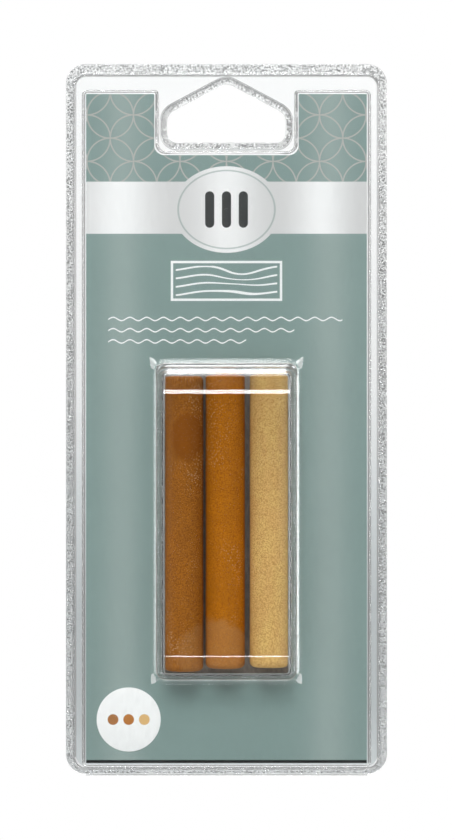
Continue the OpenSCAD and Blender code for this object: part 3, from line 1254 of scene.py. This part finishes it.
class WAXPACK_OT_rear_shell(bpy.types.Operator):
    """Builds the rear half of the clear shell and the fold that joins the halves."""

    bl_idname = "wax_pack.rear_shell"
    bl_label = "Rear shell and fold"

    def execute(self, context):
        shell = context.scene.wax_pack_shell
        sheet = Sheet()
        outside = rear_side(sheet, shell, 0, shell.sheet)
        inside = rear_side(sheet, shell, shell.sheet - shell.seam, shell.seam)
        sheet.close(outside, inside)
        sheet.mirror()
        clear = clear_sheet("clear_rear_sheet", 0.03, 0.03)
        weld = clear_sheet("clear_rear_weld", 0.05, 0.2, 0.12, 0.3)
        sheet.finish("rear_shell_clear", [clear, weld], "rear_half", "rear_sheet", ["rear_shell"])
        low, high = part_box("fold_strip")
        fold = link_object("fold_strip_clear", fold_mesh(low, high))
        fold.data.materials.append(clear_sheet("clear_fold", 0.12, 0.08))
        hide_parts("fold_strip")
        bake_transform(fold)
        return {"FINISHED"}


def weld_tree(material):
    """Geometry nodes that stand teeth on the faces of a weld band."""
    tree = bpy.data.node_groups.new("Weld teeth", "GeometryNodeTree")
    sockets = tree.interface
    sockets.new_socket("Geometry", in_out="OUTPUT", socket_type="NodeSocketGeometry")
    for label, kind in (
        ("Geometry", "NodeSocketGeometry"),
        ("Pitch", FLOAT),
        ("Tooth height", FLOAT),
        ("Density", FLOAT),
        ("Seed", "NodeSocketInt"),
    ):
        sockets.new_socket(label, in_out="INPUT", socket_type=kind)
    given = add_node(tree, "NodeGroupInput").outputs
    scatter = add_node(tree, "GeometryNodeDistributePointsOnFaces", distribute_method="POISSON")
    cone = add_node(tree, "GeometryNodeMeshCone")
    cone.inputs["Vertices"].default_value = 4
    cone.inputs["Radius Top"].default_value = 0.0
    spin = add_node(tree, "FunctionNodeRandomValue", data_type="FLOAT_VECTOR")
    spin.inputs[0].default_value = (math.pi / 2, 0, 0)
    spin.inputs[1].default_value = (math.pi / 2, math.pi / 2, 0)
    size = add_node(tree, "FunctionNodeRandomValue", data_type="FLOAT")
    size.inputs[2].default_value = TOOTH_SIZES[0]
    size.inputs[3].default_value = TOOTH_SIZES[1]
    stand_out = add_node(tree, "GeometryNodeInstanceOnPoints")
    real = add_node(tree, "GeometryNodeRealizeInstances")
    dress = add_node(tree, "GeometryNodeSetMaterial")
    dress.inputs["Material"].default_value = material
    result = add_node(tree, "NodeGroupOutput")
    for source, socket in (
        (given["Geometry"], scatter.inputs["Mesh"]),
        (given["Pitch"], scatter.inputs["Distance Min"]),
        (given["Density"], scatter.inputs["Density Max"]),
        (given["Seed"], scatter.inputs["Seed"]),
        ((Value(given["Pitch"]) * TOOTH_FOOT).socket, cone.inputs["Radius Bottom"]),
        (given["Tooth height"], cone.inputs["Depth"]),
        (given["Seed"], spin.inputs["Seed"]),
        (given["Seed"], size.inputs["Seed"]),
        (scatter.outputs["Points"], stand_out.inputs["Points"]),
        (cone.outputs["Mesh"], stand_out.inputs["Instance"]),
        (size.outputs[1], stand_out.inputs["Scale"]),
        (spin.outputs[0], stand_out.inputs["Rotation"]),
        (stand_out.outputs[0], real.inputs[0]),
        (real.outputs[0], dress.inputs["Geometry"]),
        (dress.outputs[0], result.inputs[0]),
    ):
        tree.links.new(source, socket)
    return tree


def run_nodes(host, tree, values):
    """Plain mesh that a node tree makes of a host object; the host is removed."""
    modifier = host.modifiers.new("Nodes", "NODES")
    modifier.node_group = tree
    for item in tree.interface.items_tree:
        if item.in_out == "INPUT" and item.name in values:
            modifier[item.identifier] = values[item.name]
    evaluated = host.evaluated_get(bpy.context.evaluated_depsgraph_get())
    mesh = bpy.data.meshes.new_from_object(evaluated)
    host.modifiers.remove(modifier)
    bpy.data.objects.remove(host)
    return mesh


class WAXPACK_OT_weld_teeth(bpy.types.Operator):
    """Stands the weld teeth on the flange and on the rim of the hang hole."""

    bl_idname = "wax_pack.weld_teeth"
    bl_label = "Weld teeth"

    def execute(self, context):
        shell = context.scene.wax_pack_shell
        weld = context.scene.wax_pack_weld
        level = shell.sheet - TOOTH_SINK
        outer = rounded(pack_outline(), [shell.pack_r] * 4, -TOOTH_TO_EDGE)
        inner = rounded(
            margin_outline(shell), [margin_radius(shell)] * 4, shell.margin_run + TOOTH_TO_WALL
        )
        bands = Sheet()
        flange = [bands.ring(outline, level) for outline in (outer, inner)]
        grows = (TOOTH_TO_EDGE, shell.rim - TOOTH_TO_WALL)
        rim = [bands.ring(hang_hole(grow), level) for grow in grows]
        bands.loft(flange)
        bands.loft(rim)
        host = link_object("weld_bands", mesh_of(bands.bm, "weld_bands"))
        teeth = clear_sheet("clear_weld_teeth", 0.1, 0.05, 0.1, 0.0, 0.5)
        values = {
            "Pitch": weld.pitch,
            "Tooth height": weld.tooth_h,
            "Density": TOOTH_CROWD / weld.pitch ** 2,
            "Seed": weld.seed,
        }
        made = run_nodes(host, weld_tree(teeth), values)
        made.name = "weld_teeth"
        place("weld_teeth", made, [teeth], "front_half")
        return {"FINISHED"}


class WAXPACK_OT_card(bpy.types.Operator):
    """Builds the folded card with its notch, its window and its print."""

    bl_idname = "wax_pack.card"
    bl_label = "Printed card"

    def execute(self, context):
        card = context.scene.wax_pack_card
        sheet = Sheet()
        outside = self.side(sheet, card, 0)
        inside = self.side(sheet, card, card.thick)
        sheet.close(outside, inside, CUT_EDGE)
        for made in sheet.bm.faces:
            made.smooth = False
        materials = [
            printed_front(card),
            printed_back(card),
            bare_board("card_inside", card.board, 0.35),
            bare_board("card_cut_edge", (0.62, 0.62, 0.6), 0.2),
        ]
        sheet.finish("printed_card", materials, "rear_half", "printed_card", ["insert_card"])
        return {"FINISHED"}

    def side(self, sheet, card, inset):
        """One side of the card; returns the rings at its cut edges."""
        face = -CARD_LOW.y
        bend = (face + card.thick) / 2
        left = CARD_LOW.x
        right = CARD_HIGH.x
        fold_z = CARD_LOW.z + bend
        outline = [Vector((left, fold_z)), Vector((right, fold_z))] + self.notched_top(card)
        front = sheet.ring(outline, face - inset)
        back = sheet.ring(outline, inset - card.thick)
        opening = rounded(
            rect(-card.window_half, card.window_half, card.window_low, card.window_top),
            [card.window_r] * 4,
        )
        window = sheet.ring(opening, face - inset)
        sheet.fill(front, window, slot=BARE if inset else FRONT_PRINT)
        sheet.fill(back, slot=BARE if inset else BACK_PRINT)
        radius = bend - inset
        lefts = [front[0]]
        rights = [front[1]]
        for step in range(1, FOLD_STEPS):
            a = step / FOLD_STEPS * math.pi
            level = face - bend + radius * math.cos(a)
            z = fold_z - radius * math.sin(a)
            lefts.append(sheet.bm.verts.new((left, -level, z)))
            rights.append(sheet.bm.verts.new((right, -level, z)))
        lefts.append(back[0])
        rights.append(back[1])
        for i in range(FOLD_STEPS):
            printed = FRONT_PRINT if i < FRONT_FOLDS else BACK_PRINT
            quad = (lefts[i], rights[i], rights[i + 1], lefts[i + 1])
            sheet.face(quad, BARE if inset else printed)
        edge = front[2:] + lefts + back[2:][::-1] + rights[::-1]
        return edge, window

    def notched_top(self, card):
        """Upper edge of the card from right to left, with the notch round the hang hole."""
        top = CARD_HIGH.z
        half = card.notch_half
        r = card.notch_r
        edge = [Vector((CARD_HIGH.x, top)), Vector((half, top))]
        for side_x, start in ((half, 0.0), (-half, -math.pi / 2)):
            middle = side_x - math.copysign(r, side_x)
            for step in range(NOTCH_STEPS + 1):
                a = start - step / NOTCH_STEPS * math.pi / 2
                up = card.notch_foot + r + r * math.sin(a)
                edge.append(Vector((middle + r * math.cos(a), up)))
        return edge + [Vector((-half, top)), Vector((CARD_LOW.x, top))]


class WAXPACK_OT_label(bpy.types.Operator):
    """Builds the round label on the card."""

    bl_idname = "wax_pack.label"
    bl_label = "Round label"

    def execute(self, context):
        centre = (LABEL_LOW + LABEL_HIGH) / 2
        radius = (LABEL_HIGH.x - LABEL_LOW.x) / 2
        low = -LABEL_HIGH.y
        high = -LABEL_LOW.y
        rise = high - low
        turns = [TAU * k / LABEL_POINTS for k in range(LABEL_POINTS)]
        sheet = Sheet()
        rings = []
        for reach, level in (
            (radius, low),
            (radius, low + rise * 0.6),
            (radius - rise * 0.15, low + rise * 0.9),
            (radius - rise * 0.5, high),
            (radius * 0.6, high),
        ):
            outline = [
                Vector((centre.x + reach * math.cos(a), centre.z + reach * math.sin(a)))
                for a in turns
            ]
            rings.append(sheet.ring(outline, level))
        sheet.loft(rings)
        sheet.fill(rings[-1])
        sheet.fill(rings[0])
        paper = label_paper(context.scene.wax_pack_sticks)
        sheet.finish("round_label", [paper], "rear_half", "label_paper", ["shade_label"])
        return {"FINISHED"}


class WAXPACK_OT_sticks(bpy.types.Operator):
    """Builds the wax sticks with worn ends and shallow dents."""

    bl_idname = "wax_pack.sticks"
    bl_label = "Wax sticks"

    def execute(self, context):
        sticks = context.scene.wax_pack_sticks
        # A darker oval on the upper half of the dark stick.
        dark_oval = (-9.6, -88.2, 3.9, 6.0, (0.2, 0.055, 0.0), 0.8, 0.14)
        # Painted light: a lighter disc spanning the lower ends of the dark and middle sticks.
        painted_light_disc = (-2.9, -142.6, 9.2, 9.2, (0.42, 0.2, 0.065))
        finishes = {
            "dark_stick": wax("dark_wax", sticks.dark, 0.9, 0.5, (dark_oval, (*painted_light_disc, 0.35, 0.12))),
            "middle_stick": wax("middle_wax", sticks.middle, 0.8, 0.38, ((*painted_light_disc, 0.5, 0.12),)),
            "pale_stick": wax("pale_wax", sticks.pale, 0.8, 0.45, ()),
        }
        for node, finish in finishes.items():
            self.stick(node, finish, sticks)
        return {"FINISHED"}

    def profile(self, low, high, radius, wear):
        """Reach and height pairs from the lower end of a stick to the upper one."""
        end = [(0.0, low.z), (radius * 0.45, low.z)]
        for step in range(WEAR_STEPS + 1):
            a = step / WEAR_STEPS * math.pi / 2
            reach = radius - wear + wear * math.sin(a)
            end.append((reach, low.z + wear - wear * math.cos(a)))
        span = high.z - low.z - 2 * wear
        heights = [(k + 1) / (STICK_ROWS + 1) for k in range(STICK_ROWS)]
        sides = [(radius, low.z + wear + span * share) for share in heights]
        return end + sides + [(reach, low.z + high.z - z) for reach, z in reversed(end)]

    def stick(self, node, finish, sticks):
        """One stick, inside the space of its solid."""
        low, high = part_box(node)
        radius = (high.x - low.x) / 2
        middle = (low + high) / 2
        half = (high.z - low.z - 2 * sticks.wear) / 2
        bm = bmesh.new()
        rings = []
        for reach, z in self.profile(low, high, radius, sticks.wear):
            ring = []
            for k in range(STICK_SIDES if reach else 1):
                a = TAU * k / STICK_SIDES
                spot = Vector((middle.x + reach * math.cos(a), middle.y + reach * math.sin(a), z))
                slow = noise.noise(Vector((spot.x, spot.y, spot.z * DENT_STRETCH)) / SLOW_DENT)
                fine = noise.noise(spot / FINE_DENT)
                worn = max(0.0, EVEN_WEAR + (1 - EVEN_WEAR) * slow)
                fall = sticks.dent * (worn + FINE_WEAR * max(0.0, fine))
                inward = Vector((spot.x - middle.x, spot.y - middle.y, 0))
                if reach:
                    spot -= inward.normalized() * fall * min(1.0, reach / radius)
                if abs(z - middle.z) > half:
                    spot.z += math.copysign(fall * END_WEAR, middle.z - z)
                ring.append(bm.verts.new(spot))
            rings.append(ring)
        for first, second in zip(rings, rings[1:]):
            for k in range(STICK_SIDES):
                quad = [first[k % len(first)], first[(k + 1) % len(first)]]
                quad += [second[(k + 1) % len(second)], second[k % len(second)]]
                kept = [v for i, v in enumerate(quad) if v is not quad[i - 1]]
                bm.faces.new(kept).smooth = True
        bmesh.ops.recalc_face_normals(bm, faces=bm.faces)
        mesh = mesh_of(bm, node + "_cast")
        body = node.replace("_stick", "_wax_stick")
        place(node + "_cast", mesh, [finish], body, [node])


# What a lamp does: light surfaces, show as a highlight, or both.
LIGHTS = "lights"
SHINES = "shines"
BOTH = "both"
WORLD_LIGHT = 0.36
FLOOR_HALF = 1.2
# Name, place (its height is from the middle of the picture), size, radiance and use.
LAMPS = (
    ("front_strip", (0, -1.25, 0.324), (1.0, 0.125), 20.0, SHINES),
    ("low_strip", (0, -1.25, -0.25), (0.9, 0.045), 20.0, SHINES),
    ("top_box", (-0.15, -1.6, 1.6), (0.9, 0.7), 20.1, BOTH),
    ("left_strip", (-0.85, -0.5, 0.02), (0.16, 0.8), 2.05, BOTH),
    ("right_strip", (0.85, -0.5, 0.02), (0.12, 0.8), 1.05, BOTH),
    ("back_fill", (0.3, 1.5, 0.9), (0.9, 0.6), 8.1, LIGHTS),
    ("overhead", (0, -0.05, 0.72), (1.3, 0.45), 8.5, SHINES),
    ("underneath", (0, 0.05, -0.262), (0.7, 0.22), 5.0, SHINES),
    ("left_edge", (-0.6, -0.03, 0.0), (0.34, 0.9), 6.0, SHINES),
    ("right_edge", (0.6, -0.03, 0.0), (0.34, 0.9), 13.0, SHINES),
)


def aim(item, target):
    """Turns a lamp or camera towards a point."""
    item.rotation_euler = (Vector(target) - item.location).to_track_quat("-Z", "Y").to_euler()


def soft_lamp(name, place_at, size, radiance, use, target):
    """A rectangular lamp; radiance is what a mirror shows of it."""
    data = bpy.data.lights.new(name, "AREA")
    data.shape = "RECTANGLE"
    data.size, data.size_y = size
    data.energy = radiance * math.pi * data.size * data.size_y
    lamp = link_object(name, data)
    lamp.location = place_at
    lamp.visible_camera = False
    lamp.visible_transmission = False
    lamp.visible_diffuse = use != SHINES
    lamp.visible_glossy = use != LIGHTS
    aim(lamp, target)


class WAXPACK_OT_stage(bpy.types.Operator):
    """Sets up the floor, the background, the lamps and the camera."""

    bl_idname = "wax_pack.stage"
    bl_label = "Stage"

    def execute(self, context):
        scene = context.scene
        stage = scene.wax_pack_stage
        scene.view_settings.view_transform = "Standard"
        target = (stage.centre_x, 0, stage.centre_z)
        self.floor(stage)
        self.background(scene)
        for name, (x, y, up), size, radiance, use in LAMPS:
            soft_lamp(name, (x, y, stage.centre_z + up), size, radiance, use, target)
        data = bpy.data.cameras.new("photo_camera")
        data.sensor_fit = "VERTICAL"
        data.sensor_height = 24.0
        data.lens = data.sensor_height * stage.distance / stage.view_h
        data.clip_start = 0.01
        camera = link_object("photo_camera", data)
        camera.location = (stage.centre_x, -stage.distance, stage.centre_z)
        aim(camera, target)
        scene.camera = camera
        return {"FINISHED"}

    def floor(self, stage):
        """White to the camera, with a soft shadow; its mirror image is dark in front."""
        bm = bmesh.new()
        bmesh.ops.create_grid(bm, x_segments=8, y_segments=8, size=FLOOR_HALF)
        bmesh.ops.translate(bm, vec=(0, 0, stage.floor_z), verts=bm.verts)
        plane = link_object("floor", mesh_of(bm, "floor"))
        material = bpy.data.materials.new("pale_floor")
        tree = empty_nodes(material)
        path = values_of(add_node(tree, "ShaderNodeLightPath"))
        mirrored = calc("MAXIMUM", path["Is Glossy Ray"], path["Is Transmission Ray"])
        bounced = calc("MINIMUM", path["Glossy Depth"], mirrored)
        dim = bounced * ramp(split_vector(coordinates(tree, "Object"))["Y"], -0.05, -0.15)
        matte = add_node(tree, "ShaderNodeBsdfDiffuse")
        feed(matte.inputs["Color"], blend_colour(dim, (0.8, 0.8, 0.8), (0.1, 0.1, 0.1)))
        bright = path["Is Camera Ray"] * 0.85 + (mirrored - dim) * 0.6
        show_mix(bright, matte, add_node(tree, "ShaderNodeEmission"))
        plane.data.materials.append(material)

    def background(self, scene):
        """White to the camera; paler above, greyer below and dark aside through the clear sheet."""
        world = bpy.data.worlds.new("studio")
        scene.world = world
        tree = empty_nodes(world)
        light = add_node(tree, "ShaderNodeBackground")
        output = add_node(tree, "ShaderNodeOutputWorld")
        feed(output.inputs["Surface"], Value(light.outputs[0]))
        path = values_of(add_node(tree, "ShaderNodeLightPath"))
        passed = path["Is Transmission Ray"]
        way = split_vector(coordinates(tree, "Generated"))
        view = split_vector(coordinates(tree, "Camera"))
        across = abs(view["X"])
        up = abs(view["Y"])
        spread = far_from(across, up)
        bent = calc("MAXIMUM", across * 2.0, up)
        lit = ramp(way["Z"], -0.055, 0.01, 0.6, 0.97, smooth=False)
        lit = lit + ramp(way["Z"], 0.01, 0.09, 0.0, 0.17, smooth=False)
        lit = lit + ramp(way["Z"], -0.078, -0.135, 0.0, 0.36)
        fade = ramp(bent, 0.105, 0.2, 1.0, 0.3)
        fade = calc("MAXIMUM", fade, ramp(spread, 0.58, 0.72))
        bounced = calc("MINIMUM", path["Glossy Depth"], 1.0)
        ahead = ramp(way["Y"], -0.4, -0.9, 0.0, 0.97) * bounced
        mirrored = ramp(way["Y"], -0.75, -0.95, 0.75, 0.03)
        strength = choose(path["Is Glossy Ray"], WORLD_LIGHT, mirrored)
        strength = choose(passed, strength, lit * fade * (1.0 - ahead))
        feed(light.inputs["Strength"], calc("MAXIMUM", strength, path["Is Camera Ray"]))
        cool = passed * ramp(way["Z"], 0.03, -0.06) * ramp(spread, 0.2, 0.1)
        feed(light.inputs["Color"], blend_colour(cool, (1, 1, 1), (0.93, 0.985, 1.0)))


class WAXPACK_PT_build(bpy.types.Panel):
    """Lists the sizes, the colours and the steps of the pack."""

    bl_idname = "WAXPACK_PT_build"
    bl_label = "Wax stick pack"
    bl_space_type = "VIEW_3D"
    bl_region_type = "UI"
    bl_category = "Wax pack"

    def draw(self, context):
        for name, group in SETTINGS.items():
            box = self.layout.box()
            box.label(text=group.__doc__)
            for field in group.__annotations__:
                box.prop(getattr(context.scene, name), field)
        for step in STEPS:
            self.layout.operator(step.bl_idname)


SETTINGS = {
    "wax_pack_shell": WaxPackShell,
    "wax_pack_bay": WaxPackBay,
    "wax_pack_weld": WaxPackWeld,
    "wax_pack_card": WaxPackCard,
    "wax_pack_sticks": WaxPackSticks,
    "wax_pack_stage": WaxPackStage,
}
STEPS = (
    WAXPACK_OT_stage,
    WAXPACK_OT_sticks,
    WAXPACK_OT_card,
    WAXPACK_OT_label,
    WAXPACK_OT_rear_shell,
    WAXPACK_OT_front_shell,
    WAXPACK_OT_weld_teeth,
)


def register():
    """Makes the settings, the steps and the panel known."""
    for name, group in SETTINGS.items():
        bpy.utils.register_class(group)
        setattr(bpy.types.Scene, name, PointerProperty(type=group))
    for step in STEPS:
        bpy.utils.register_class(step)
    bpy.utils.register_class(WAXPACK_PT_build)


def unregister():
    """Takes the settings, the steps and the panel away again."""
    bpy.utils.unregister_class(WAXPACK_PT_build)
    for step in reversed(STEPS):
        bpy.utils.unregister_class(step)
    for name, group in SETTINGS.items():
        delattr(bpy.types.Scene, name)
        bpy.utils.unregister_class(group)


def main():
    """Builds the pack step by step."""
    register()
    bpy.ops.wax_pack.stage()
    bpy.ops.wax_pack.sticks()
    bpy.ops.wax_pack.card()
    bpy.ops.wax_pack.label()
    bpy.ops.wax_pack.rear_shell()
    bpy.ops.wax_pack.front_shell()
    bpy.ops.wax_pack.weld_teeth()


if __name__ == "__main__":
    main()
